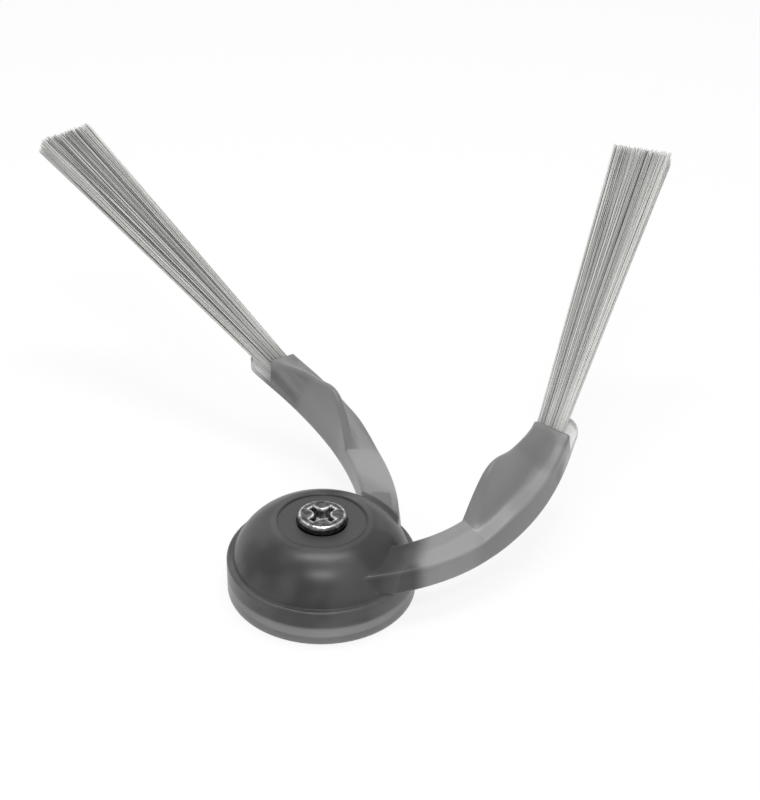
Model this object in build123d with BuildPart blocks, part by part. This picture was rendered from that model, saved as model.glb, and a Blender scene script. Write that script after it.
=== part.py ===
"""Two-armed side brush of a robot vacuum cleaner, lying on the face that meets the machine."""
import os
from math import acos, asin, cos, degrees, pi, radians, sin, tan

from build123d import *

# Hub, in millimetres, with the turning axis on Z and the disc's lower face on the XY plane
disc_radius = 11.0
rim_height = 4.45
rim_round = 0.3
dome_top = 9.3
dome_flat_radius = 4.0
dome_arc_radius = 6.5
rubber_wall = 0.9
recess_radius = 8.8
recess_depth = 1.7

# Hard core, its drive socket and its screw seat
seat_radius = 5.1
seat_drop = 0.3
seat_round = 0.15
counterbore_depth = 0.32
screw_clearance = 0.15
socket_width = 5.6
socket_round = 0.8
socket_depth = 4.4

# Screw
head_radius = 2.85
head_height = 1.35
head_round = 0.45
shank_radius = 1.5
shank_length = 6.4
shank_chamfer = 0.3
cross_width = 0.85
cross_span = 3.7
cross_round = 0.55
cross_depth = 1.15
cross_taper = 14
cross_turn = 45

# Path of an arm: a level arc that passes the hub axis at a set distance, then a straight end.
# Stations are distances along this path from the point nearest the axis.
arm_spread = 74.4
arm_arc_radius = 30.8
arm_offset = 6.4
arm_lead = 1.7
straight_heading = 66
ramp_station = 18.7
crest_station = 23.0
lip_station = 36.0
tongue_station = 38.4

# How many sections each stretch of an arm is drawn through
strap_count = 5
climb_count = 6
holder_count = 7
tongue_count = 4

# Section of an arm, which curls upward from a station on
arm_width = 4.7
arm_flare = 0.15
arm_draft = 0.4
arm_round = 0.4
strap_bottom = 4.2
strap_thickness = 2.7
lip_thickness = 3.45
strap_bank = 0.8
curl_station = 10.5
curl_radius = 62

# Bristle holder: the arm's inner edge climbs steeply to a crest, then falls to the lip
crest_rise = 4.75
crest_width = 0.5
crest_fall = 1.3
ledge_width = 1.7
lip_ledge_width = 0.7

# Tongue under the bristles, with a round end
tongue_thickness = 1.0
tongue_end_radius = 2.5

# Anchor tabs of the core inside the arm roots
tab_station = 10.5
tab_width = 2.4
tab_bottom = 5.1
tab_thickness = 1.3

# Bristle tufts
tuft_width = 3.1
tuft_thickness = 1.8
tuft_inset = 5.0
tuft_recess = 0.8
tuft_length = 45.0
tuft_slope = 30
tuft_shift = 0.6
tuft_drop = 1.75
tuft_lean = 0.8
tuft_tip_width = 7.9
tuft_tip_thickness = 2.5
pocket_clearance = 0.03
filament_radius = 0.11
filament_sides = 4
filament_margin = 0.18
filament_columns = 13
filament_rows = 7

# Places worked out from the sizes above
dome_centre = (dome_flat_radius, dome_top - dome_arc_radius)
shell_radius = dome_arc_radius - rubber_wall
seat_height = dome_top - seat_drop
head_bottom = seat_height - counterbore_depth
arc_distance = arm_arc_radius - arm_offset
arc_centre = Vector(-arc_distance * sin(radians(arm_lead)), arc_distance * cos(radians(arm_lead)))
straight_station = arm_arc_radius * radians(straight_heading - arm_lead)
arm_end = tongue_station + 2 * tongue_end_radius


def arm_plane(station):
    """Upright plane across the arm at a station. X points inward, Y up and Z along the arm."""
    turn = radians(arm_lead) + min(station, straight_station) / arm_arc_radius
    ahead = Vector(cos(turn), sin(turn))
    inward = Vector(-sin(turn), cos(turn))
    origin = arc_centre - inward * arm_arc_radius + ahead * max(0, station - straight_station)
    return Plane(origin=origin, x_dir=inward, z_dir=ahead)


def share(station, start, end):
    """How far a station lies from start, 0, to end, 1."""
    return min(1, max(0, (station - start) / (end - start)))


def underside(station):
    """Height of the arm's underside: level, then a gentle curl, then straight with the end."""
    curl = max(0, min(station, straight_station) - curl_station)
    return strap_bottom + (curl**2 / 2 + curl * max(0, station - straight_station)) / curl_radius


def outer_top(station):
    """Height of the arm's outer top edge. The arm thickens along the ramp."""
    growth = (lip_thickness - strap_thickness) * share(station, ramp_station, crest_station)
    return underside(station) + strap_thickness + growth


def inner_top(station):
    """Height of the inner top edge: a quarter sine wave up the ramp, then a fall to the lip."""
    climb = sin(pi / 2 * share(station, ramp_station, crest_station))
    fall = 1 - share(station, crest_station, lip_station) ** crest_fall
    return outer_top(station) + strap_bank + crest_rise * climb * fall


def arm_section(station):
    """Section of the arm at a station, with an S-shaped top between its ledge and its crest."""
    along = share(station, crest_station, lip_station)
    half = arm_width / 2 + arm_flare * along
    low = underside(station)
    slope = Vector(arm_width, strap_bank).normalized()
    edge = Vector(arm_draft - half, outer_top(station))
    crest = Vector(half, inner_top(station))
    ledge_end = edge + slope * (ledge_width + (lip_ledge_width - ledge_width) * along)
    crest_start = crest - slope * crest_width
    pull = slope * ((crest_start - ledge_end).X / 2)
    with BuildSketch(arm_plane(station)) as section:
        with BuildLine():
            Polyline(ledge_end, edge, (-half, low), (half, low), crest, crest_start)
            Bezier(ledge_end, ledge_end + pull, crest_start - pull, crest_start)
        make_face()
        corners = section.vertices().sort_by(lambda corner: abs(corner.X))[-4:]
        fillet(corners, arm_round)
    return section.sketch


def spaced(start, end, count):
    """Evenly spaced values from start to end."""
    return [start + (end - start) * step / (count - 1) for step in range(count)]


# One anchor tab, a level strip along the arm's arc
with BuildPart() as tab:
    with BuildSketch(Plane.XY.offset(tab_bottom)):
        with BuildLine():
            turn = degrees(tab_station / arm_arc_radius)
            near = CenterArc(arc_centre, arm_arc_radius - tab_width / 2, arm_lead - 90, turn)
            far = CenterArc(arc_centre, arm_arc_radius + tab_width / 2, arm_lead - 90, turn)
            Line(near @ 0, far @ 0)
            Line(near @ 1, far @ 1)
        make_face()
    extrude(amount=tab_thickness)

# The hard core before its holes, which the rubber is moulded round
with BuildPart() as core_form:
    with BuildSketch(Plane.XZ):
        with BuildLine():
            shell_end = degrees(acos((seat_radius - dome_flat_radius) / shell_radius))
            shell = CenterArc(dome_centre, shell_radius, 0, shell_end)
            Polyline(shell @ 0, (dome_flat_radius + shell_radius, recess_depth), (0, recess_depth))
            Polyline((0, recess_depth), (0, seat_height), (seat_radius, seat_height), shell @ 1)
        make_face()
    revolve(axis=Axis.Z)
    add(tab.part)
    add(tab.part.rotate(Axis.Z, arm_spread))

# Hard core
with BuildPart() as core:
    add(core_form.part)
    with Locations((0, 0, seat_height)):
        CounterBoreHole(
            radius=shank_radius + screw_clearance,
            counter_bore_radius=head_radius + screw_clearance,
            counter_bore_depth=counterbore_depth,
        )
    with BuildSketch(Plane.XY.offset(recess_depth)):
        RectangleRounded(socket_width, socket_width, socket_round)
    extrude(amount=socket_depth, mode=Mode.SUBTRACT)
core.part.label = "hub_core"

# Screw
with BuildPart() as screw:
    with Locations((0, 0, head_bottom)):
        Cylinder(head_radius, head_height, align=(Align.CENTER, Align.CENTER, Align.MIN))
    fillet(screw.edges().sort_by(Axis.Z)[-1], head_round)
    with Locations((0, 0, head_bottom)):
        Cylinder(shank_radius, shank_length, align=(Align.CENTER, Align.CENTER, Align.MAX))
    chamfer(screw.edges().sort_by(Axis.Z)[0], shank_chamfer)
    with BuildSketch(Plane.XY.offset(head_bottom + head_height).rotated((0, 0, cross_turn))) as cross:
        Rectangle(cross_span, cross_width)
        Rectangle(cross_width, cross_span)
        fillet(cross.vertices().sort_by(SortBy.DISTANCE)[:4], cross_round)
    extrude(amount=-cross_depth, taper=cross_taper, mode=Mode.SUBTRACT)
screw.part.label = "screw"

# Where a tuft leaves its holder: X points inward, Z along the bristles
lip_plane = arm_plane(lip_station)
tuft_plane = Plane(
    origin=lip_plane.from_local_coords((tuft_shift, inner_top(lip_station) - tuft_drop, 0)),
    x_dir=lip_plane.x_dir,
    z_dir=lip_plane.z_dir.rotate(Axis((0, 0, 0), lip_plane.x_dir), -tuft_slope),
)

# One arm: strap, bristle holder and tongue
with BuildPart() as arm:
    loft([arm_section(station) for station in spaced(0, ramp_station, strap_count)])
    climb_stations = spaced(ramp_station, crest_station, climb_count)
    holder_stations = spaced(crest_station, arm_end, holder_count)[1:]
    loft([arm_section(station) for station in climb_stations + holder_stations])
    for station in spaced(lip_station, arm_end + tongue_thickness, tongue_count):
        with BuildSketch(arm_plane(station)):
            with Locations((0, underside(station) + tongue_thickness)):
                Rectangle(2 * arm_width, 2 * arm_width, align=(Align.CENTER, Align.MIN))
    loft(mode=Mode.SUBTRACT)
    with BuildSketch():
        with Locations(Location(arm_plane(tongue_station).origin, (0, 0, straight_heading))):
            Rectangle(2 * arm_width, 2 * arm_width, align=(Align.MIN, Align.CENTER))
            Circle(tongue_end_radius, mode=Mode.SUBTRACT)
    extrude(amount=inner_top(arm_end), mode=Mode.SUBTRACT)
    with BuildSketch(tuft_plane.offset(-tuft_inset)):
        Rectangle(tuft_width + 2 * pocket_clearance, tuft_thickness + 2 * pocket_clearance)
    extrude(amount=tuft_inset + tuft_width, mode=Mode.SUBTRACT)

# Rubber body
with BuildPart() as body:
    with BuildSketch(Plane.XZ) as profile:
        with BuildLine():
            foot_angle = degrees(asin((rim_height - dome_centre[1]) / dome_arc_radius))
            seat_angle = degrees(acos((seat_radius - dome_flat_radius) / dome_arc_radius))
            dome = CenterArc(dome_centre, dome_arc_radius, foot_angle, seat_angle - foot_angle)
            Polyline(dome @ 0, (disc_radius, rim_height), (disc_radius, 0), (0, 0))
            Polyline((0, 0), (0, seat_height), (seat_radius, seat_height), dome @ 1)
        make_face()
        fillet(profile.vertices().sort_by_distance(dome @ 1)[0], seat_round)
    revolve(axis=Axis.Z)
    rim_edges = body.edges().filter_by(GeomType.CIRCLE).sort_by(SortBy.RADIUS)[-2:]
    fillet(rim_edges, rim_round)
    add(arm.part)
    add(arm.part.rotate(Axis.Z, arm_spread))
    Cylinder(recess_radius, recess_depth, align=(Align.CENTER, Align.CENTER, Align.MIN), mode=Mode.SUBTRACT)
    add(core_form.part, mode=Mode.SUBTRACT)
body.part.label = "brush_body"


def filament_place(across, down, along, sway):
    """Point on a filament: its place in the tuft's fan at a distance along the tuft."""
    reach = along / tuft_length
    width = tuft_width - 2 * filament_margin
    thickness = tuft_thickness - 2 * filament_margin
    x = across * (width + (tuft_tip_width - width) * reach)
    y = down * (thickness + (tuft_tip_thickness - thickness) * reach) + sway * reach
    return tuft_plane.from_local_coords((x, y, along))


def bristle_tuft(lean):
    """A tuft in the right arm: a bonded butt and straight filaments that fan out to the tip."""
    sway = tuft_length * tan(radians(lean))
    filaments = []
    for row in range(filament_rows):
        down = row / (filament_rows - 1) - 0.5
        for column in range(filament_columns):
            across = (column + 0.5 * (row % 2)) / (filament_columns - 0.5) - 0.5
            root = filament_place(across, down, -2 * tuft_recess, sway)
            tip = filament_place(across, down, tuft_length, sway)
            with BuildSketch(Plane(origin=root, z_dir=tip - root)) as section:
                RegularPolygon(filament_radius, filament_sides)
            filaments.append(extrude(section.sketch, amount=(tip - root).length))
    with BuildPart() as tuft:
        with BuildSketch(tuft_plane.offset(-tuft_inset)):
            Rectangle(tuft_width, tuft_thickness)
        extrude(amount=tuft_inset - tuft_recess)
        add(filaments)
    return tuft.part


right_tuft = bristle_tuft(tuft_lean)
right_tuft.label = "bristle_tuft_right"
left_tuft = bristle_tuft(-tuft_lean).rotate(Axis.Z, arm_spread)
left_tuft.label = "bristle_tuft_left"

os.makedirs("parts", exist_ok=True)
export_step(body.part, "parts/brush_body.step")
export_step(core.part, "parts/hub_core.step")
export_step(screw.part, "parts/screw.step")
export_step(right_tuft, "parts/bristle_tuft_right.step")
export_step(left_tuft, "parts/bristle_tuft_left.step")
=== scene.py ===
"""Looks of a robot vacuum side brush: smoky rubber body, hard core, plated screw and bristle tufts."""

import bpy
import numpy as np
from mathutils import Matrix, Vector


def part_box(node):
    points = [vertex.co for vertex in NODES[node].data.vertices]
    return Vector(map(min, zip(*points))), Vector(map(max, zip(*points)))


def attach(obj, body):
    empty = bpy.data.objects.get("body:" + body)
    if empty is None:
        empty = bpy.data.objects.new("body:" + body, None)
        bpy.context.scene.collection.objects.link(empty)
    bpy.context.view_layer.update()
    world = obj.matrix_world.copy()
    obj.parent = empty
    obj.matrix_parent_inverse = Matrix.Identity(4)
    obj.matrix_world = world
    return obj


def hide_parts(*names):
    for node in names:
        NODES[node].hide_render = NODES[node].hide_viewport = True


bl_info = {
    "name": "Robot vacuum side brush",
    "version": (1, 0, 0),
    "blender": (4, 5, 0),
    "location": "3D View > Sidebar > Side Brush",
    "description": "Dresses the packed side brush in rubber, plastic, steel and bristles",
    "category": "Object",
}

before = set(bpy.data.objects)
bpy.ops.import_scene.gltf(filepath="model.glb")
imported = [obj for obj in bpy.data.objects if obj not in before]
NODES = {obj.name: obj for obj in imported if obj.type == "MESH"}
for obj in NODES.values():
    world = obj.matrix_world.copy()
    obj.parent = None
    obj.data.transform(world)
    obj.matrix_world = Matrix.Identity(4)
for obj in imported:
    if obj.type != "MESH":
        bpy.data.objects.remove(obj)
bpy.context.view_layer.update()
TUFT_NODES = ("bristle_tuft_right", "bristle_tuft_left")
BLACK = (0.0, 0.0, 0.0)
WHITE = (1.0, 1.0, 1.0)

# Finishes: grains and clouds per metre with the depth of the grain, and the range of the roughness
RUBBER_GRAIN = (2600.0, 160.0, 0.00002)
RUBBER_ROUGHNESS = (0.27, 0.36)
RUBBER_IOR = 1.4
RUBBER_GLOSS = 0.42
CORE_GRAIN = (3200.0, 240.0, 0.00003)
CORE_ROUGHNESS = (0.34, 0.52)
STEEL_GRAIN = (1800.0, 1500.0, 0.00004)
STEEL_ROUGHNESS = (0.12, 0.3)
NYLON_GRAIN = (5000.0, 400.0, 0.00001)
NYLON_ROUGHNESS = (0.3, 0.45)
NYLON_GLOSS = 0.4
FLOOR_ROUGHNESS = 0.9

# The grain group: its name, the detail of its two noises and the strength of its bump
GRAIN_GROUP = "moulded_grain"
GRAIN_DETAIL = 3.0
CLOUD_DETAIL = 2.0
GRAIN_STRENGTH = 0.35

# Clouds in the rubber: change of brightness, and the range of clouds that make a patch
CLOUD_SHADE = 0.04
PATCH_RANGE = (0.42, 0.62)

# Plating: the range of clouds that makes it mottled, and the least share of the bright edge lines, rubbed
# plating and painted highlights, in a dull patch
MOTTLE_RANGE = (0.3, 0.7)
GLINT_WEAR_LOW = 0.25

# Rays that find the rubber's edges
EDGE_SAMPLES = 6

# Borders of a bristle root's shade, as shares of its length, half its height and its reach aside
ROOT_INNER = (-1.15, -0.85)
ROOT_OUTER = (0.3, 0.1)
ROOT_LEVEL = (1.25, 0.75)
ROOT_SIDE = (1.0, 0.8)

# Places of a Mix node's factor, two colours and resulting colour among its sockets
MIX_FACTOR, MIX_FIRST, MIX_SECOND, MIX_RESULT = 0, 6, 7, 2

# Bristles: share of a tuft that counts as its end, scatter on the lattice in steps of it, and tones, with
# painted shade in dark bristles and painted light at a tuft's sides
END_SHARE = 1 / 8
STAGGER = 0.25
COLUMN_JITTER = 0.25
ROW_JITTER = 0.3
DARK_TONES = (0.0, 0.2)
LIGHT_TONES = (0.45, 0.85)
PAINTED_SIDE_LIGHT_POWER = 4
PAINTED_SIDE_LIGHT_DIVISOR = 3

# Rings of points on each stretch of the screw, and the margin that tells its shank from its head
TOP_RINGS = 90
BEND_RINGS = 10
SIDE_RINGS = 8
UNDER_RINGS = 8
SHANK_RINGS = 100
SHANK_MARGIN = 1.001

# Lamps: place, width and depth. Camera: the nearest distance that it sees
TOP_LAMP = ((0.0, 0.05, 0.45), 0.28, 0.07)
FRONT_LAMP = ((0.0, -0.25, 0.43), 0.2, 0.06)
NEAR_CLIP = 0.005


class RubberSettings(bpy.types.PropertyGroup):
    """Colours of the soft body and the places where they change."""

    clear: bpy.props.FloatVectorProperty(
        name="Clear rubber",
        description="Colour of the smoky rubber where nothing lies behind it",
        subtype="COLOR",
        default=(0.55, 0.55, 0.55),
    )
    smoke: bpy.props.FloatProperty(
        name="Smoke",
        description="Share of light that the rubber takes up, per metre of its thickness",
        default=200.0,
    )
    see_through: bpy.props.FloatProperty(
        name="See-through",
        description="Share of the light that passes through the rubber's surface",
        default=0.65,
        subtype="FACTOR",
    )
    edge_round: bpy.props.FloatProperty(
        name="Edge round",
        description="Radius by which the moulding's edges look rounded",
        default=0.0003,
        unit="LENGTH",
    )
    shaded: bpy.props.FloatVectorProperty(
        name="Rubber over the core",
        description="Colour of the rubber where the dark core shows through it",
        subtype="COLOR",
        default=(0.08, 0.08, 0.08),
    )
    thin: bpy.props.FloatVectorProperty(
        name="Thin rubber",
        description="Colour of the thin tongue, which lets the light through",
        subtype="COLOR",
        default=(0.92, 0.93, 0.92),
    )
    thick: bpy.props.FloatProperty(
        name="Thick rubber",
        description="Share of light that the thick bristle holder takes away",
        default=0.17,
        subtype="FACTOR",
    )
    holder_start: bpy.props.FloatProperty(
        name="Holder start",
        description="Distance from the axis where the strap rises to the bristle holder",
        default=0.0172,
        unit="LENGTH",
    )
    holder_fade: bpy.props.FloatProperty(
        name="Holder fade",
        description="Distance over which the holder's shade sets in",
        default=0.0016,
        unit="LENGTH",
    )
    root_depth: bpy.props.FloatProperty(
        name="Root depth",
        description="Length of bristle root that shows through the holder",
        default=0.0045,
        unit="LENGTH",
    )
    root_height: bpy.props.FloatProperty(
        name="Root height",
        description="Height of the bristle root that shows through the holder's wall",
        default=0.0013,
        unit="LENGTH",
    )
    root_glimpse: bpy.props.FloatProperty(
        name="Root glimpse",
        description="Share of the root's shade that shows on the holder's top, through more rubber",
        default=0.4,
        subtype="FACTOR",
    )
    root_shade: bpy.props.FloatProperty(
        name="Root shade",
        description="Share of light that the bristle root takes away",
        default=0.34,
        subtype="FACTOR",
    )
    core_reach: bpy.props.FloatProperty(
        name="Core reach",
        description="Distance from the axis up to which the core shows through",
        default=0.0106,
        unit="LENGTH",
    )
    core_fade: bpy.props.FloatProperty(
        name="Core fade",
        description="Distance over which the core's shade dies away along an arm",
        default=0.0024,
        unit="LENGTH",
    )
    # Darker rubber along the right arm's root, outside the rim: the dark tone over the core is carried
    # further along this arm
    right_dark_heading: bpy.props.FloatVectorProperty(
        name="Tab heading",
        description="Direction of the right arm where the core's anchor tab ends in it",
        subtype="DIRECTION",
        default=(0.92, 0.39, 0.0),
    )
    right_dark_reach: bpy.props.FloatProperty(
        name="Tab reach",
        description="Distance along that direction up to which the tab shows through",
        default=0.0066,
        unit="LENGTH",
    )
    right_dark_fade: bpy.props.FloatProperty(
        name="Tab fade",
        description="Distance over which the tab's shade dies away",
        default=0.0024,
        unit="LENGTH",
    )
    right_dark_start: bpy.props.FloatProperty(
        name="Tab start",
        description="Distance outside the rim over which the tab's shade sets in",
        default=0.0002,
        unit="LENGTH",
    )
    right_dark_side: bpy.props.FloatProperty(
        name="Tab side",
        description="Distance to either side of the hub's middle over which the tab's shade ends",
        default=0.001,
        unit="LENGTH",
    )
    hub_radius: bpy.props.FloatProperty(
        name="Hub radius",
        description="Radius of the rim",
        default=0.011,
        unit="LENGTH",
    )
    left_light: bpy.props.FloatProperty(
        name="Left root light",
        description="Share of the core's shade that is missing on the left arm's root",
        default=0.65,
        subtype="FACTOR",
    )
    left_start: bpy.props.FloatProperty(
        name="Left root start",
        description="Distance behind the hub's middle where the left arm's root begins",
        default=0.003,
        unit="LENGTH",
    )
    left_fade: bpy.props.FloatProperty(
        name="Left root fade",
        description="Distance over which the left root's light sets in",
        default=0.002,
        unit="LENGTH",
    )
    dome_slope: bpy.props.FloatProperty(
        name="Dome slope",
        description="How much the dome falls for each unit of radius where the arms leave it",
        default=1.58,
    )
    dome_level: bpy.props.FloatProperty(
        name="Dome level",
        description="Height on the axis of a cone of that slope that lies just above the dome and the rim",
        default=0.02197,
        unit="LENGTH",
    )
    dome_fade: bpy.props.FloatProperty(
        name="Dome fade",
        description="Height above the dome over which an arm counts as free of it",
        default=0.0006,
        unit="LENGTH",
    )
    patch_light: bpy.props.FloatProperty(
        name="Patches",
        description="Share of the core's shade that cloudy patches in the rubber hide",
        default=0.12,
        subtype="FACTOR",
    )
    # Painted light: the light band is painted lighter towards the floor, at the rim's foot where shade
    # falls
    painted_light_foot_height: bpy.props.FloatProperty(
        name="Foot height",
        description="Height over which the light band gets lighter towards the floor",
        default=0.0012,
        unit="LENGTH",
    )
    painted_light_foot_shade: bpy.props.FloatProperty(
        name="Foot shade",
        description="Share of the light band's shade that its foot keeps",
        default=0.15,
        subtype="FACTOR",
    )
    band_height: bpy.props.FloatProperty(
        name="Light band",
        description="Height of the light band at the foot of the rim, below the core",
        default=0.002,
        unit="LENGTH",
    )
    band_fade: bpy.props.FloatProperty(
        name="Band fade",
        description="Height over which the light band turns dark",
        default=0.0005,
        unit="LENGTH",
    )
    band_shade: bpy.props.FloatProperty(
        name="Band shade",
        description="Share of the core's shade that the light band keeps",
        default=0.46,
        subtype="FACTOR",
    )
    # Painted highlight: a light ring painted into the dome beside the core's seat, where a highlight falls
    highlight_ring_radius: bpy.props.FloatProperty(
        name="Ring radius",
        description="Radius of the light ring in the dome, beside the core's seat",
        default=0.0056,
        unit="LENGTH",
    )
    highlight_ring_width: bpy.props.FloatProperty(
        name="Ring width",
        description="Distance over which the light ring fades to either side",
        default=0.0005,
        unit="LENGTH",
    )
    highlight_ring_light: bpy.props.FloatProperty(
        name="Ring light",
        description="Share of the core's shade that the light ring hides",
        default=0.13,
        subtype="FACTOR",
    )
    rim_start: bpy.props.FloatProperty(
        name="Rim start",
        description="Distance from the axis where the rubber beside the core gets thicker",
        default=0.0099,
        unit="LENGTH",
    )
    rim_fade: bpy.props.FloatProperty(
        name="Rim fade",
        description="Distance over which the rim gets lighter than the dome",
        default=0.0008,
        unit="LENGTH",
    )
    rim_light: bpy.props.FloatProperty(
        name="Rim light",
        description="Share of the core's shade that the thicker rim hides",
        default=0.07,
        subtype="FACTOR",
    )
    tongue_start: bpy.props.FloatProperty(
        name="Tongue start",
        description="Distance from the axis where the arm thins to its tongue",
        default=0.0296,
        unit="LENGTH",
    )
    tongue_fade: bpy.props.FloatProperty(
        name="Tongue fade",
        description="Distance over which the tongue gets paler",
        default=0.0022,
        unit="LENGTH",
    )
    tongue_level: bpy.props.FloatProperty(
        name="Tongue level",
        description="Height of the tongue's upper face where it starts",
        default=0.0103,
        unit="LENGTH",
    )
    tongue_slope: bpy.props.FloatProperty(
        name="Tongue slope",
        description="How much the tongue climbs for each unit of distance from the axis",
        default=0.49,
    )
    tongue_edge: bpy.props.FloatProperty(
        name="Tongue edge",
        description="Height over which the holder's wall gets as pale as the tongue below it",
        default=0.0011,
        unit="LENGTH",
    )


class CoreSettings(bpy.types.PropertyGroup):
    """Colour of the hard core."""

    colour: bpy.props.FloatVectorProperty(
        name="Core",
        description="Colour of the core's plastic",
        subtype="COLOR",
        default=(0.034, 0.034, 0.034),
    )


class BristleSettings(bpy.types.PropertyGroup):
    """Colours, number and form of the bristles in one tuft."""

    dark: bpy.props.FloatVectorProperty(
        name="Dark bristle",
        description="Colour of the darkest bristles",
        subtype="COLOR",
        default=(0.04, 0.042, 0.04),
    )
    light: bpy.props.FloatVectorProperty(
        name="Light bristle",
        description="Colour of the lightest bristles",
        subtype="COLOR",
        default=(0.76, 0.77, 0.74),
    )
    rows: bpy.props.IntProperty(
        name="Rows",
        description="Rows of bristles through the thickness of a tuft",
        default=8,
    )
    columns: bpy.props.IntProperty(
        name="Columns",
        description="Bristles in one row across a tuft",
        default=60,
    )
    right_fan: bpy.props.FloatProperty(
        name="Right fan",
        description="Width of the right tuft's free end, as a share of its solid's",
        default=0.98,
    )
    left_fan: bpy.props.FloatProperty(
        name="Left fan",
        description="Width of the left tuft's free end, as a share of its solid's",
        default=1.05,
    )
    radius: bpy.props.FloatProperty(
        name="Radius",
        description="Radius of one bristle",
        default=0.000046,
        unit="LENGTH",
    )
    bow: bpy.props.FloatProperty(
        name="Bow",
        description="Largest sideways bow of a bristle at the middle of its length",
        default=0.00018,
        unit="LENGTH",
    )
    # Painted shade: dark bristles, most of them in a tuft's middle, stand in for the shade in the gaps
    # between bristles
    dark_share: bpy.props.FloatProperty(
        name="Dark share",
        description="Share of the bristles that are dark in the middle of a tuft",
        default=0.3,
        subtype="FACTOR",
    )
    ragged: bpy.props.FloatProperty(
        name="Ragged ends",
        description="Largest shortfall of a bristle's free end",
        default=0.0005,
        unit="LENGTH",
    )
    sides: bpy.props.IntProperty(
        name="Sides",
        description="Sides of one bristle",
        default=5,
    )
    steps: bpy.props.IntProperty(
        name="Steps",
        description="Lengths that one bristle is divided into",
        default=7,
    )


class ScrewSettings(bpy.types.PropertyGroup):
    """Colours of the plating, and form of the screw's head, cross recess and thread."""

    dull: bpy.props.FloatVectorProperty(
        name="Dull plating",
        description="Colour of the plating between its lighter patches",
        subtype="COLOR",
        default=(0.045, 0.045, 0.045),
    )
    mottled: bpy.props.FloatVectorProperty(
        name="Mottled plating",
        description="Colour of the lighter patches in the plating",
        subtype="COLOR",
        default=(0.16, 0.16, 0.165),
    )
    # Colour of the bright lines on the screw: a painted highlight on the rim, and rubbed plating with a
    # painted highlight round the recess
    worn_and_glinting: bpy.props.FloatVectorProperty(
        name="Worn plating",
        description="Colour of the plating where it is worn bright",
        subtype="COLOR",
        default=(0.9, 0.9, 0.9),
    )
    head_height: bpy.props.FloatProperty(
        name="Head height",
        description="Height of the head",
        default=0.00135,
        unit="LENGTH",
    )
    head_round: bpy.props.FloatProperty(
        name="Head round",
        description="Radius of the head's rim",
        default=0.00045,
        unit="LENGTH",
    )
    shank_radius: bpy.props.FloatProperty(
        name="Shank radius",
        description="Outer radius of the thread",
        default=0.0015,
        unit="LENGTH",
    )
    pitch: bpy.props.FloatProperty(
        name="Pitch",
        description="Height of one turn of the thread",
        default=0.0005,
        unit="LENGTH",
    )
    thread_depth: bpy.props.FloatProperty(
        name="Thread depth",
        description="Depth of the thread",
        default=0.00022,
        unit="LENGTH",
    )
    tip: bpy.props.FloatProperty(
        name="Tip",
        description="Height of the bevelled tip",
        default=0.0003,
        unit="LENGTH",
    )
    cross_span: bpy.props.FloatProperty(
        name="Cross span",
        description="Span of the cross recess over its tips",
        default=0.0037,
        unit="LENGTH",
    )
    cross_width: bpy.props.FloatProperty(
        name="Cross width",
        description="Width of one wing of the recess",
        default=0.00092,
        unit="LENGTH",
    )
    cross_blend: bpy.props.FloatProperty(
        name="Cross blend",
        description="How far the corners between the wings are rounded off",
        default=0.001,
        unit="LENGTH",
    )
    cross_wall: bpy.props.FloatProperty(
        name="Cross wall",
        description="Width of the recess's slanted walls",
        default=0.00042,
        unit="LENGTH",
    )
    cross_depth: bpy.props.FloatProperty(
        name="Cross depth",
        description="Depth of the recess",
        default=0.00115,
        unit="LENGTH",
    )
    # Width and place of the bright lines: a painted highlight on the head's rim, rubbed plating with a
    # painted highlight round the recess
    wear_and_glint: bpy.props.FloatProperty(
        name="Wear",
        description="Width of the bright line along the recess",
        default=0.0001,
        unit="LENGTH",
    )
    rim_glint_place: bpy.props.FloatProperty(
        name="Rim wear",
        description="Where on the head's rounded rim the bright line runs, from 0 outside to 1 on top",
        default=0.65,
        subtype="FACTOR",
    )
    # Painted light in the recess, and on the thread painted light on the crests with painted shade in the
    # grooves
    painted_wall_light: bpy.props.FloatProperty(
        name="Polish",
        description="Brightness of the recess's and the thread's walls",
        default=0.5,
        subtype="FACTOR",
    )
    sides: bpy.props.IntProperty(
        name="Sides",
        description="Points round the screw",
        default=128,
    )


class StageSettings(bpy.types.PropertyGroup):
    """Camera, lamps and floor."""

    camera_place: bpy.props.FloatVectorProperty(
        name="Camera",
        description="Place of the camera",
        default=(0.0, -0.131255, 0.104581),
        subtype="TRANSLATION",
    )
    view: bpy.props.FloatVectorProperty(
        name="View",
        description="Direction that the camera looks in",
        default=(0.040504, 0.854881, -0.517241),
        subtype="DIRECTION",
    )
    upright: bpy.props.FloatVectorProperty(
        name="Upright",
        description="Direction that is up in the picture",
        default=(-0.004341, 0.517812, 0.855484),
        subtype="DIRECTION",
    )
    lens: bpy.props.FloatProperty(
        name="Lens",
        description="Focal length of the camera in millimetres",
        default=63.72,
    )
    floor_size: bpy.props.FloatProperty(
        name="Floor",
        description="Side of the square floor",
        default=3.0,
        unit="LENGTH",
    )
    floor_colour: bpy.props.FloatVectorProperty(
        name="Floor colour",
        description="Colour of the floor",
        subtype="COLOR",
        default=(0.9, 0.9, 0.9),
    )
    floor_glow: bpy.props.FloatProperty(
        name="Floor glow",
        description="Share of plain white in the floor where it shows, which leaves a soft shadow",
        default=0.86,
        subtype="FACTOR",
    )
    floor_gap: bpy.props.FloatProperty(
        name="Floor gap",
        description="Depth of the floor below the brush's lower face",
        default=0.00005,
        unit="LENGTH",
    )
    sky: bpy.props.FloatProperty(
        name="Sky",
        description="Strength of the even light from all round",
        default=0.55,
    )
    top_power: bpy.props.FloatProperty(
        name="Top lamp",
        description="Power of the wide lamp overhead",
        default=0.9,
        unit="POWER",
    )
    front_power: bpy.props.FloatProperty(
        name="Front lamp",
        description="Power of the wide lamp above the camera",
        default=0.65,
        unit="POWER",
    )


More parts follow.
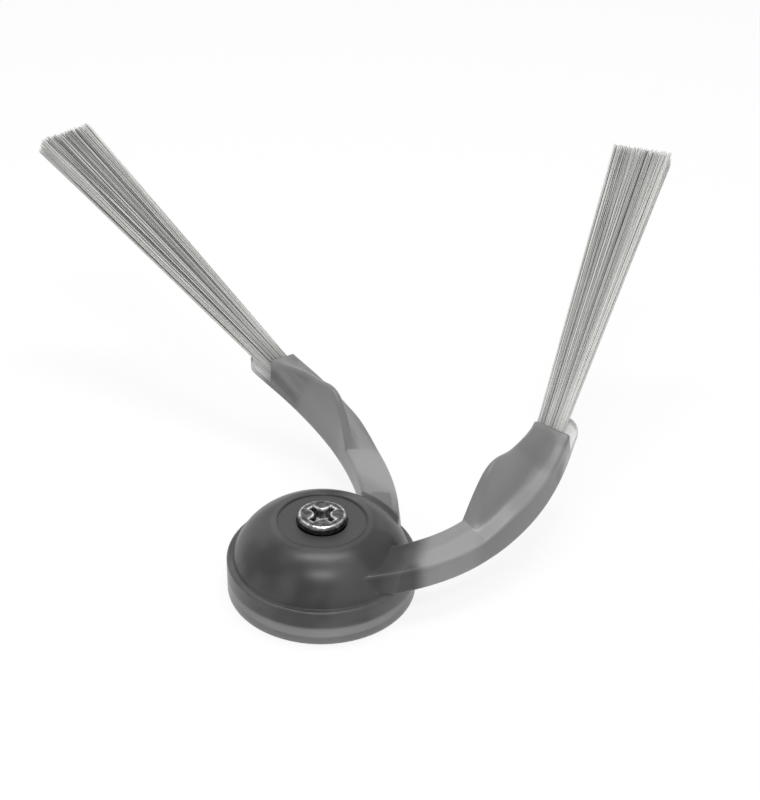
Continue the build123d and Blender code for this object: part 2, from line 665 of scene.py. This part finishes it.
def node(tree, kind, settings=None, **inputs):
    """A new shader node with its settings, and its inputs set to values or linked to sockets.

    An input called n0, n1 and so on is found by its place, any other by its name.
    """
    made = tree.nodes.new(kind)
    for name, value in (settings or {}).items():
        setattr(made, name, value)
    for name, value in inputs.items():
        numbered = name[0] == "n" and name[1:].isdigit()
        socket = made.inputs[int(name[1:]) if numbered else name]
        if isinstance(value, bpy.types.NodeSocket):
            tree.links.new(value, socket)
        else:
            socket.default_value = value
    return made


def calc(tree, operation, first, second=0.0):
    """Output of a math node on two values or sockets."""
    return node(tree, "ShaderNodeMath", {"operation": operation}, n0=first, n1=second).outputs[0]


def product(tree, first, *others):
    """Output that multiplies values or sockets."""
    for other in others:
        first = calc(tree, "MULTIPLY", first, other)
    return first


def measure(tree, place, direction):
    """Output that measures how far a place lies along a direction."""
    dot = {"operation": "DOT_PRODUCT"}
    return node(tree, "ShaderNodeVectorMath", dot, n0=place, n1=direction).outputs["Value"]


def rise(tree, value, start, end):
    """Output that climbs smoothly from 0 at start to 1 at end."""
    smooth = {"interpolation_type": "SMOOTHSTEP"}
    step = node(tree, "ShaderNodeMapRange", smooth, Value=value)
    step.inputs["From Min"].default_value = start
    step.inputs["From Max"].default_value = end
    return step.outputs["Result"]


def spread(tree, value, low, high):
    """Output that runs from low to high as a value runs from 0 to 1."""
    made = node(tree, "ShaderNodeMapRange", Value=value)
    made.inputs["To Min"].default_value = low
    made.inputs["To Max"].default_value = high
    return made.outputs["Result"]


def mix(tree, factor, first, second):
    """Colour between two colours or sockets."""
    made = node(tree, "ShaderNodeMix", {"data_type": "RGBA"})
    tree.links.new(factor, made.inputs[MIX_FACTOR])
    for index, value in ((MIX_FIRST, first), (MIX_SECOND, second)):
        if isinstance(value, bpy.types.NodeSocket):
            tree.links.new(value, made.inputs[index])
        else:
            made.inputs[index].default_value = (*value, 1.0)
    return made.outputs[MIX_RESULT]


def new_material(name, **constants):
    """A material with one Principled shader, whose even values are set on its own sockets."""
    material = bpy.data.materials.new(name)
    material.use_nodes = True
    shader = material.node_tree.nodes["Principled BSDF"]
    for socket, value in constants.items():
        shader.inputs[socket.replace("_", " ")].default_value = value
    return material, material.node_tree, shader


def grain_group():
    """Node group: fine moulded grain and slow clouds, as a height and a value from 0 to 1."""
    group = bpy.data.node_groups.new(GRAIN_GROUP, "ShaderNodeTree")
    sockets = {"INPUT": ("Grain per metre", "Clouds per metre"), "OUTPUT": ("Height", "Cloud")}
    for side, names in sockets.items():
        for name in names:
            group.interface.new_socket(name, in_out=side, socket_type="NodeSocketFloat")
    entry = group.nodes.new("NodeGroupInput")
    leave = group.nodes.new("NodeGroupOutput")
    place = group.nodes.new("ShaderNodeTexCoord").outputs["Object"]
    for index, detail in enumerate((GRAIN_DETAIL, CLOUD_DETAIL)):
        scale = entry.outputs[index]
        noise = node(group, "ShaderNodeTexNoise", Vector=place, Scale=scale, Detail=detail)
        group.links.new(noise.outputs[0], leave.inputs[index])
    return group


def shared_group():
    """The grain group, built once."""
    return bpy.data.node_groups.get(GRAIN_GROUP) or grain_group()


def grained(tree, shader, group, look, normal=None):
    """Places the grain group in a material, bumps the shader with it and returns its clouds.

    A look holds the grains and the clouds per metre and the grain's depth. The bump starts from the
    normal that is given, or else from the surface's own.
    """
    grain, clouds, depth = look
    made = tree.nodes.new("ShaderNodeGroup")
    made.node_tree = group
    made.inputs[0].default_value = grain
    made.inputs[1].default_value = clouds
    height = made.outputs[0]
    bump = node(tree, "ShaderNodeBump", Height=height, Strength=GRAIN_STRENGTH, Distance=depth)
    if normal is not None:
        tree.links.new(normal, bump.inputs["Normal"])
    tree.links.new(bump.outputs[0], shader.inputs["Normal"])
    return made.outputs[1]


def scaled(shares, size):
    """Shares of a size, as sizes."""
    return [share * size for share in shares]


def root_mask(tree, place, name, settings):
    """Value that is 1 on the rubber round a tuft's hidden root and fades out at its borders."""
    ends, across, through = tuft_fan(name)
    root, tip = (Vector(end[0]) for end in ends)
    minus = {"operation": "SUBTRACT"}
    offset = node(tree, "ShaderNodeVectorMath", minus, n0=place, n1=root).outputs[0]
    depth = measure(tree, offset, (tip - root).normalized())
    height = calc(tree, "ABSOLUTE", measure(tree, offset, Vector(through)))
    aside = calc(tree, "ABSOLUTE", measure(tree, offset, Vector(across)))
    length = settings.root_depth
    inside = rise(tree, depth, *scaled(ROOT_INNER, length))
    covered = rise(tree, depth, *scaled(ROOT_OUTER, length))
    level = rise(tree, height, *scaled(ROOT_LEVEL, settings.root_height / 2))
    beside = rise(tree, aside, *scaled(ROOT_SIDE, length))
    return product(tree, inside, covered, beside, spread(tree, level, settings.root_glimpse, 1.0))


def right_root_dark_mask(tree, place, y, radius, settings):
    """Value that is 1 along the right arm's root, outside the rim, where the dark tone over the core is
    carried further.
    """
    ahead = measure(tree, place, Vector(settings.right_dark_heading))
    covered = rise(tree, ahead, settings.right_dark_reach + settings.right_dark_fade, settings.right_dark_reach)
    outside = rise(tree, radius, settings.hub_radius, settings.hub_radius + settings.right_dark_start)
    right = rise(tree, y, settings.right_dark_side, -settings.right_dark_side)
    return product(tree, covered, outside, right)


def left_root_mask(tree, y, z, radius, settings):
    """Value that is 1 on the left arm's root, where it stands free above the dome and the rim."""
    lift = calc(tree, "ADD", z, product(tree, radius, settings.dome_slope))
    free = rise(tree, lift, settings.dome_level, settings.dome_level + settings.dome_fade)
    behind = rise(tree, y, settings.left_start, settings.left_start + settings.left_fade)
    return product(tree, free, behind)


def tongue_mask(tree, z, radius, settings):
    """Value that is 1 on a thin tongue, beyond its start and below its climbing upper face."""
    start = settings.tongue_start
    outside = rise(tree, radius, start, start + settings.tongue_fade)
    climb = product(tree, calc(tree, "SUBTRACT", radius, start), settings.tongue_slope)
    height = calc(tree, "SUBTRACT", z, climb)
    low = rise(tree, height, settings.tongue_level + settings.tongue_edge, settings.tongue_level)
    return product(tree, outside, low)


def core_shade(tree, place, y, z, radius, cloud, settings):
    """Share of the core's dark tone that shows through the rubber.

    It is full over the core and dies away along the arms, further along the right arm's root and less on
    the left arm's free root. It is weaker in the thicker rim and in cloudy patches; painted light lifts it
    at the rim's foot, near the floor, and a painted highlight lifts it in a ring beside the seat.
    """
    near = rise(tree, radius, settings.core_reach + settings.core_fade, settings.core_reach)
    # The dark tone reaches further along the right arm's root
    near = calc(tree, "MAXIMUM", near, right_root_dark_mask(tree, place, y, radius, settings))
    left_root = left_root_mask(tree, y, z, radius, settings)
    band = rise(tree, z, settings.band_height, settings.band_height + settings.band_fade)
    # Painted light at the rim's foot, which lifts the shade near the floor
    foot = rise(tree, z, 0.0, settings.painted_light_foot_height)
    rim = rise(tree, radius, settings.rim_start, settings.rim_start + settings.rim_fade)
    # Painted highlight: the ring beside the seat lifts the core's dark tone
    from_highlight_ring = calc(tree, "ABSOLUTE", calc(tree, "SUBTRACT", radius, settings.highlight_ring_radius))
    ring = rise(tree, from_highlight_ring, settings.highlight_ring_width, 0.0)
    patches = rise(tree, cloud, *PATCH_RANGE)
    return product(
        tree,
        near,
        spread(tree, left_root, 1.0, 1.0 - settings.left_light),
        spread(tree, band, settings.band_shade, 1.0),
        spread(tree, foot, settings.painted_light_foot_shade, 1.0),
        spread(tree, rim, 1.0, 1.0 - settings.rim_light),
        spread(tree, ring, 1.0, 1.0 - settings.highlight_ring_light),
        spread(tree, patches, 1.0, 1.0 - settings.patch_light),
    )


def rubber_material(settings, group):
    """Smoky rubber: dark over the core, pale at the thin tongues, clouded between."""
    material, tree, shader = new_material(
        "smoky_rubber",
        Transmission_Weight=settings.see_through,
        IOR=RUBBER_IOR,
        Specular_IOR_Level=RUBBER_GLOSS,
    )
    smoke = node(tree, "ShaderNodeVolumeAbsorption", Density=settings.smoke, Color=(*BLACK, 1.0))
    tree.links.new(smoke.outputs[0], tree.nodes["Material Output"].inputs["Volume"])
    rounded = node(tree, "ShaderNodeBevel", {"samples": EDGE_SAMPLES}, Radius=settings.edge_round)
    cloud = grained(tree, shader, group, RUBBER_GRAIN, rounded.outputs[0])
    place = tree.nodes.new("ShaderNodeTexCoord").outputs["Object"]
    x, y, z = node(tree, "ShaderNodeSeparateXYZ", Vector=place).outputs
    flat = node(tree, "ShaderNodeCombineXYZ", X=x, Y=y).outputs[0]
    length = {"operation": "LENGTH"}
    radius = node(tree, "ShaderNodeVectorMath", length, n0=flat).outputs["Value"]
    start = settings.holder_start
    holder = rise(tree, radius, start, start + settings.holder_fade)
    colour = mix(tree, holder, settings.clear, Vector(settings.clear) * (1 - settings.thick))
    colour = mix(tree, tongue_mask(tree, z, radius, settings), colour, settings.thin)
    for name in TUFT_NODES:
        shade = product(tree, root_mask(tree, place, name, settings), settings.root_shade)
        colour = mix(tree, shade, colour, BLACK)
    shade = core_shade(tree, place, y, z, radius, cloud, settings)
    colour = mix(tree, shade, colour, settings.shaded)
    bright = spread(tree, cloud, -CLOUD_SHADE, CLOUD_SHADE)
    clouded = node(tree, "ShaderNodeBrightContrast", Color=colour, Bright=bright)
    tree.links.new(clouded.outputs[0], shader.inputs["Base Color"])
    tree.links.new(spread(tree, cloud, *RUBBER_ROUGHNESS), shader.inputs["Roughness"])
    return material


def core_material(settings, group):
    """Hard dark plastic with a faint moulded grain."""
    material, tree, shader = new_material("core_plastic", Base_Color=(*settings.colour, 1.0))
    cloud = grained(tree, shader, group, CORE_GRAIN)
    tree.links.new(spread(tree, cloud, *CORE_ROUGHNESS), shader.inputs["Roughness"])
    return material


def steel_material(settings, group):
    """Dull plated steel, mottled, with bright lines along its edges: rubbed plating and painted
    highlights.
    """
    material, tree, shader = new_material("plated_steel", Metallic=1.0)
    cloud = grained(tree, shader, group, STEEL_GRAIN)
    worn_and_glinting = node(tree, "ShaderNodeAttribute", {"attribute_name": "edge_wear_and_glint"}).outputs["Fac"]
    patchy = rise(tree, cloud, *MOTTLE_RANGE)
    dull = mix(tree, patchy, settings.dull, settings.mottled)
    bright = product(tree, worn_and_glinting, spread(tree, patchy, GLINT_WEAR_LOW, 1.0))
    tree.links.new(mix(tree, bright, dull, settings.worn_and_glinting), shader.inputs["Base Color"])
    tree.links.new(spread(tree, cloud, *STEEL_ROUGHNESS), shader.inputs["Roughness"])
    return material


def bristle_material(settings, group):
    """Grey nylon, each bristle a little lighter or darker than the next, with painted shade in the dark
    bristles and painted light at the tuft's sides.
    """
    material, tree, shader = new_material("bristle_nylon", Specular_IOR_Level=NYLON_GLOSS)
    cloud = grained(tree, shader, group, NYLON_GRAIN)
    tone = node(tree, "ShaderNodeAttribute", {"attribute_name": "strand_tone"}).outputs["Fac"]
    tree.links.new(mix(tree, tone, settings.dark, settings.light), shader.inputs["Base Color"])
    tree.links.new(spread(tree, cloud, *NYLON_ROUGHNESS), shader.inputs["Roughness"])
    return material


def dress(name, material):
    """Gives a CAD node its finish."""
    slots = NODES[name].data.materials
    slots.clear()
    slots.append(material)


def mesh_points(name):
    """Corner points of a CAD node as an array of rows."""
    vertices = NODES[name].data.vertices
    points = np.empty(len(vertices) * 3)
    vertices.foreach_get("co", points)
    return points.reshape(-1, 3)


def tuft_fan(name):
    """Root and free end of a tuft from its CAD node: middle, width and thickness, with both axes.

    The longest principal axis of the node's points is the way that the tuft grows. The points near
    either end of it are measured along the other two axes.
    """
    points = mesh_points(name)
    axes = np.linalg.svd(points - points.mean(0), full_matrices=False)[2]
    along = axes[0] * np.sign(axes[0][2])
    place = points @ along
    margin = np.ptp(place) * END_SHARE
    ends = []
    for group in (points[place < place.min() + margin], points[place > place.max() - margin]):
        middle = (group.min(0) + group.max(0)) / 2
        across = (group - middle) @ axes[1]
        through = (group - middle) @ axes[2]
        ends.append((group.mean(0), np.ptp(across), np.ptp(through)))
    return ends, axes[1], axes[2]


def strand_bundle(name, settings, fan, seed):
    """Vertices, faces and tones of a tuft's bristles.

    Each bristle is a tube about the line root + (tip - root) * t, for t from 0 to 1, plus a bow of
    sin(pi t) to a side of its own. Roots lie on a staggered lattice over the butt's section, and the
    tips on the same lattice, spread over the free end's section, whose width is multiplied by fan.
    Dark bristles, which stand in for the shade in the gaps between bristles as painted shade, are more
    frequent in the tuft's middle, and light ones are lighter at its sides as painted light.
    """
    chance = np.random.default_rng(seed)
    ends, across, through = tuft_fan(name)
    rows, columns = settings.rows, settings.columns
    row, column = np.divmod(np.arange(rows * columns), columns)
    count = row.size
    stagger = np.where(row % 2 == 0, STAGGER, -STAGGER)
    column_jitter = chance.uniform(-COLUMN_JITTER, COLUMN_JITTER, count)
    u = (column + 0.5 + stagger + column_jitter) / columns - 0.5
    v = (row + 0.5 + chance.uniform(-ROW_JITTER, ROW_JITTER, count)) / rows - 0.5
    places = []
    for (middle, width, thickness), widening in zip(ends, (1.0, fan)):
        aside = u * (width * widening - 2 * settings.radius)
        deep = v * (thickness - 2 * settings.radius)
        places.append(middle + np.outer(aside, across) + np.outer(deep, through))
    root, tip = places
    length = np.linalg.norm(tip - root, axis=1)
    tip = tip - (tip - root) * (settings.ragged * chance.uniform(0, 1, count) / length)[:, None]
    t = np.linspace(0, 1, settings.steps + 1)
    side = chance.uniform(0, 2 * np.pi, count)
    lean = np.outer(np.cos(side), across) + np.outer(np.sin(side), through)
    bow = settings.bow * chance.uniform(0, 1, count)
    path = root[:, None] + (tip - root)[:, None] * t[None, :, None]
    path += (lean * bow[:, None])[:, None] * np.sin(np.pi * t)[None, :, None]
    turn = np.arange(settings.sides) * 2 * np.pi / settings.sides
    ring = settings.radius * (np.outer(np.cos(turn), across) + np.outer(np.sin(turn), through))
    points = path[:, :, None] + ring[None, None]
    index = np.arange(points.size // 3).reshape(count, settings.steps + 1, settings.sides)
    beside = np.roll(index, -1, axis=2)
    corners = (index[:, :-1], beside[:, :-1], beside[:, 1:], index[:, 1:])
    walls = np.stack(corners, axis=-1).reshape(-1, 4)
    caps = np.concatenate((index[:, 0, ::-1], index[:, -1]))
    # Painted shade and light: dark bristles gather in the middle for the shade between bristles, and light
    # ones get lighter towards the sides
    side_share = np.abs(2 * u)
    dark = chance.random(count) < settings.dark_share * (1 - side_share**2)
    dark_tone = chance.uniform(*DARK_TONES, count)
    light_tone = chance.uniform(*LIGHT_TONES, count) + side_share**PAINTED_SIDE_LIGHT_POWER / PAINTED_SIDE_LIGHT_DIVISOR
    tones = np.repeat(np.where(dark, dark_tone, light_tone), (settings.steps + 1) * settings.sides)
    return points.reshape(-1, 3), walls.tolist() + caps.tolist(), tones


def screw_surface(settings):
    """Vertices, faces and bright marks (rubbed plating, painted highlights and painted light) of the
    screw, turned about Z from a profile.

    The profile runs from the head's middle over its rounded rim, under the head and down the shank.
    On the head's top the height drops by a cross recess: a depth times a smooth step of the distance
    inside a plus sign, the smooth least of two bars. On the shank the radius falls by a thread, a
    triangle wave of height over pitch plus turn.
    """
    low, high = (np.array(corner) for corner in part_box("screw"))
    radius = (high[0] - low[0]) / 2
    top, foot = high[2], low[2]
    under = top - settings.head_height
    edge = settings.head_round
    flat = np.linspace(0, radius - edge, TOP_RINGS)[1:]
    bend = np.linspace(0, np.pi / 2, BEND_RINGS)[1:]
    drop = np.linspace(top - edge, under, SIDE_RINGS)[1:]
    inward = np.linspace(radius, settings.shank_radius, UNDER_RINGS)[1:]
    shank = np.linspace(under, foot + settings.tip, SHANK_RINGS)[1:]
    r = np.concatenate((
        flat,
        radius - edge + edge * np.sin(bend),
        np.full(drop.size, radius),
        inward,
        np.full(shank.size, settings.shank_radius),
        [settings.shank_radius - settings.tip],
    ))
    z = np.concatenate((
        np.full(flat.size, top),
        top - edge + edge * np.cos(bend),
        drop,
        np.full(inward.size, under),
        shank,
        [foot],
    ))
    turn = np.arange(settings.sides) * 2 * np.pi / settings.sides
    r, angle = np.meshgrid(r, turn, indexing="ij")
    z = np.repeat(z[:, None], settings.sides, axis=1)

    # Cross recess, with its bars turned half way between X and Y
    x = np.abs(r * np.cos(angle - np.pi / 4))
    y = np.abs(r * np.sin(angle - np.pi / 4))
    long_bar = np.maximum(x - settings.cross_span / 2, y - settings.cross_width / 2)
    short_bar = np.maximum(y - settings.cross_span / 2, x - settings.cross_width / 2)
    blend = settings.cross_blend
    share = np.clip(0.5 + (short_bar - long_bar) / (2 * blend), 0, 1)
    border = short_bar + (long_bar - short_bar) * share - blend * share * (1 - share)
    step = np.clip(-border / settings.cross_wall, 0, 1)
    on_top = z > top - edge / 2
    z = z - np.where(on_top, settings.cross_depth * step * step * (3 - 2 * step), 0)

    # Thread, which runs out under the head and at the tip
    between = (z < under - settings.tip) & (z > foot + settings.tip)
    on_shank = (r < settings.shank_radius * SHANK_MARGIN) & between
    wave = np.abs((z / settings.pitch + angle / (2 * np.pi)) % 1 - 0.5) * 2
    r = r - np.where(on_shank, settings.thread_depth * wave, 0)

    # Bright marks: a painted highlight along the rim, rubbed plating with a painted highlight round the
    # recess, and painted light, less bright, on the recess's and the thread's walls
    from_rim = r - radius + edge * settings.rim_glint_place
    rim = np.exp(-((from_rim / settings.wear_and_glint) ** 2)) * (z > top - edge)
    lip_wear_and_glint = np.exp(-((border / settings.wear_and_glint) ** 2)) * on_top
    painted_wall_light = np.where(on_top, step, np.where(on_shank, 1 - wave, 0)) * settings.painted_wall_light
    wear_and_glint = np.maximum(np.maximum(rim, lip_wear_and_glint), painted_wall_light)

    grid = np.stack((r * np.cos(angle), r * np.sin(angle), z), axis=-1)
    poles = np.array(((0, 0, top - settings.cross_depth), (0, 0, foot)))
    points = np.concatenate((grid.reshape(-1, 3), poles))
    index = np.arange(r.size).reshape(r.shape)
    beside = np.roll(index, -1, axis=1)
    corners = (index[:-1], index[1:], beside[1:], beside[:-1])
    walls = np.stack(corners, axis=-1).reshape(-1, 4)
    first = np.stack((index[0], beside[0], np.full(settings.sides, r.size)), axis=-1)
    last = np.stack((beside[-1], index[-1], np.full(settings.sides, r.size + 1)), axis=-1)
    faces = walls.tolist() + first.tolist() + last.tolist()
    return points, faces, np.append(wear_and_glint.ravel(), (0, 0))


def add_piece(context, name, node_name, points, faces, attributes, material):
    """A new smooth piece that stands for a CAD node, which it hides, and carries the material that it is
    given.
    """
    mesh = bpy.data.meshes.new(name)
    mesh.from_pydata(points, [], faces)
    for label, values in attributes.items():
        mesh.attributes.new(label, "FLOAT", "POINT").data.foreach_set("value", values)
    mesh.shade_smooth()
    mesh.materials.append(material)
    piece = bpy.data.objects.new(name, mesh)
    context.collection.objects.link(piece)
    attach(piece, "root")
    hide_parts(node_name)


class SIDEBRUSH_OT_body(bpy.types.Operator):
    """Give the rubber body its smoky finish"""

    bl_idname = "sidebrush.body"
    bl_label = "Rubber body"

    def execute(self, context):
        dress("brush_body", rubber_material(context.scene.side_brush_rubber, shared_group()))
        return {"FINISHED"}


class SIDEBRUSH_OT_core(bpy.types.Operator):
    """Give the hard core its dark plastic"""

    bl_idname = "sidebrush.core"
    bl_label = "Hard core"

    def execute(self, context):
        dress("hub_core", core_material(context.scene.side_brush_core, shared_group()))
        return {"FINISHED"}


class SIDEBRUSH_OT_screw(bpy.types.Operator):
    """Turn the screw with its cross recess and thread in the place of its plain solid"""

    bl_idname = "sidebrush.screw"
    bl_label = "Screw"

    def execute(self, context):
        settings = context.scene.side_brush_screw
        points, faces, wear_and_glint = screw_surface(settings)
        material = steel_material(settings, shared_group())
        attributes = {"edge_wear_and_glint": wear_and_glint}
        add_piece(context, "plated_screw", "screw", points, faces, attributes, material)
        return {"FINISHED"}


class SIDEBRUSH_OT_bristles(bpy.types.Operator):
    """Grow the fine bristles of both tufts in the place of their plain solids"""

    bl_idname = "sidebrush.bristles"
    bl_label = "Bristles"

    def execute(self, context):
        settings = context.scene.side_brush_bristles
        material = bristle_material(settings, shared_group())
        fans = (settings.right_fan, settings.left_fan)
        for seed, (name, fan) in enumerate(zip(TUFT_NODES, fans)):
            points, faces, tones = strand_bundle(name, settings, fan, seed)
            attributes = {"strand_tone": tones}
            add_piece(context, name + "_strands", name, points, faces, attributes, material)
        return {"FINISHED"}


def backdrop_rays(tree):
    """Value that is 1 for rays that show the background: seen, mirrored or through the rubber."""
    path = tree.nodes.new("ShaderNodeLightPath").outputs
    shown = calc(tree, "MAXIMUM", path["Is Camera Ray"], path["Is Glossy Ray"])
    return calc(tree, "MAXIMUM", shown, path["Is Transmission Ray"])


def floor_material(settings):
    """Pale floor that looks white to the camera, keeps a soft shadow and is clear from below."""
    material, tree, shader = new_material(
        "pale_floor", Base_Color=(*settings.floor_colour, 1.0), Roughness=FLOOR_ROUGHNESS
    )
    glow = node(tree, "ShaderNodeEmission", Color=(*WHITE, 1.0), Strength=1.0)
    share = product(tree, backdrop_rays(tree), settings.floor_glow)
    blend = node(tree, "ShaderNodeMixShader", n0=share, n1=shader.outputs[0], n2=glow.outputs[0])
    below = tree.nodes.new("ShaderNodeNewGeometry").outputs["Backfacing"]
    clear = tree.nodes.new("ShaderNodeBsdfTransparent").outputs[0]
    sided = node(tree, "ShaderNodeMixShader", n0=below, n1=blend.outputs[0], n2=clear)
    tree.links.new(sided.outputs[0], tree.nodes["Material Output"].inputs["Surface"])
    return material


def add_lamp(context, name, power, place, width, depth):
    """A wide area lamp that shines at the hub."""
    data = bpy.data.lights.new(name, "AREA")
    data.energy = power
    data.shape = "RECTANGLE"
    data.size = width
    data.size_y = depth
    lamp = bpy.data.objects.new(name, data)
    lamp.location = place
    lamp.rotation_euler = (-Vector(place)).to_track_quat("-Z", "Y").to_euler()
    context.collection.objects.link(lamp)


def add_floor(context, settings):
    """A square floor just below the brush."""
    half = settings.floor_size / 2
    low = -settings.floor_gap
    corners = ((-half, -half, low), (half, -half, low), (half, half, low), (-half, half, low))
    mesh = bpy.data.meshes.new("floor")
    mesh.from_pydata(corners, [], [(0, 1, 2, 3)])
    mesh.materials.append(floor_material(settings))
    floor = bpy.data.objects.new("floor", mesh)
    context.collection.objects.link(floor)


def add_surround(context, settings):
    """A world that lights evenly and is white where it shows."""
    world = bpy.data.worlds.new("surround")
    world.use_nodes = True
    context.scene.world = world
    tree = world.node_tree
    level = calc(tree, "MAXIMUM", backdrop_rays(tree), settings.sky)
    background = tree.nodes["Background"]
    background.inputs["Color"].default_value = (*WHITE, 1.0)
    tree.links.new(level, background.inputs["Strength"])


def add_camera(context, settings):
    """The camera at the photograph's viewing angle."""
    data = bpy.data.cameras.new("camera")
    data.lens = settings.lens
    data.clip_start = NEAR_CLIP
    camera = bpy.data.objects.new("camera", data)
    view = Vector(settings.view)
    upright = Vector(settings.upright)
    turn = Matrix((view.cross(upright), upright, -view)).transposed()
    camera.matrix_world = Matrix.Translation(settings.camera_place) @ turn.to_4x4()
    context.collection.objects.link(camera)
    context.scene.camera = camera


class SIDEBRUSH_OT_stage(bpy.types.Operator):
    """Set the pale floor, the white surround, the lamps and the camera"""

    bl_idname = "sidebrush.stage"
    bl_label = "Stage"

    def execute(self, context):
        settings = context.scene.side_brush_stage
        add_floor(context, settings)
        add_surround(context, settings)
        add_lamp(context, "top_lamp", settings.top_power, *TOP_LAMP)
        add_lamp(context, "front_lamp", settings.front_power, *FRONT_LAMP)
        add_camera(context, settings)
        context.scene.view_settings.view_transform = "Standard"
        return {"FINISHED"}


class SIDEBRUSH_PT_panel(bpy.types.Panel):
    """Lists the steps that dress the side brush, with their settings"""

    bl_idname = "SIDEBRUSH_PT_panel"
    bl_label = "Side Brush"
    bl_space_type = "VIEW_3D"
    bl_region_type = "UI"
    bl_category = "Side Brush"

    def draw(self, context):
        for step in STEPS:
            self.layout.operator(step.bl_idname)
        for group in SETTINGS:
            settings = getattr(context.scene, group)
            for name in settings.__annotations__:
                self.layout.prop(settings, name)


STEPS = (
    SIDEBRUSH_OT_body,
    SIDEBRUSH_OT_core,
    SIDEBRUSH_OT_screw,
    SIDEBRUSH_OT_bristles,
    SIDEBRUSH_OT_stage,
)
SETTINGS = {
    "side_brush_rubber": RubberSettings,
    "side_brush_core": CoreSettings,
    "side_brush_screw": ScrewSettings,
    "side_brush_bristles": BristleSettings,
    "side_brush_stage": StageSettings,
}
CLASSES = (*SETTINGS.values(), *STEPS, SIDEBRUSH_PT_panel)


def register():
    """Registers the classes and hangs their settings on the scene."""
    for made in CLASSES:
        bpy.utils.register_class(made)
    for name, group in SETTINGS.items():
        setattr(bpy.types.Scene, name, bpy.props.PointerProperty(type=group))


def unregister():
    """Takes the settings off the scene and the classes off the register."""
    for name in SETTINGS:
        delattr(bpy.types.Scene, name)
    for made in reversed(CLASSES):
        bpy.utils.unregister_class(made)


def main():
    """Dresses the brush step by step."""
    register()
    bpy.ops.sidebrush.body()
    bpy.ops.sidebrush.core()
    bpy.ops.sidebrush.screw()
    bpy.ops.sidebrush.bristles()
    bpy.ops.sidebrush.stage()


if __name__ == "__main__":
    main()
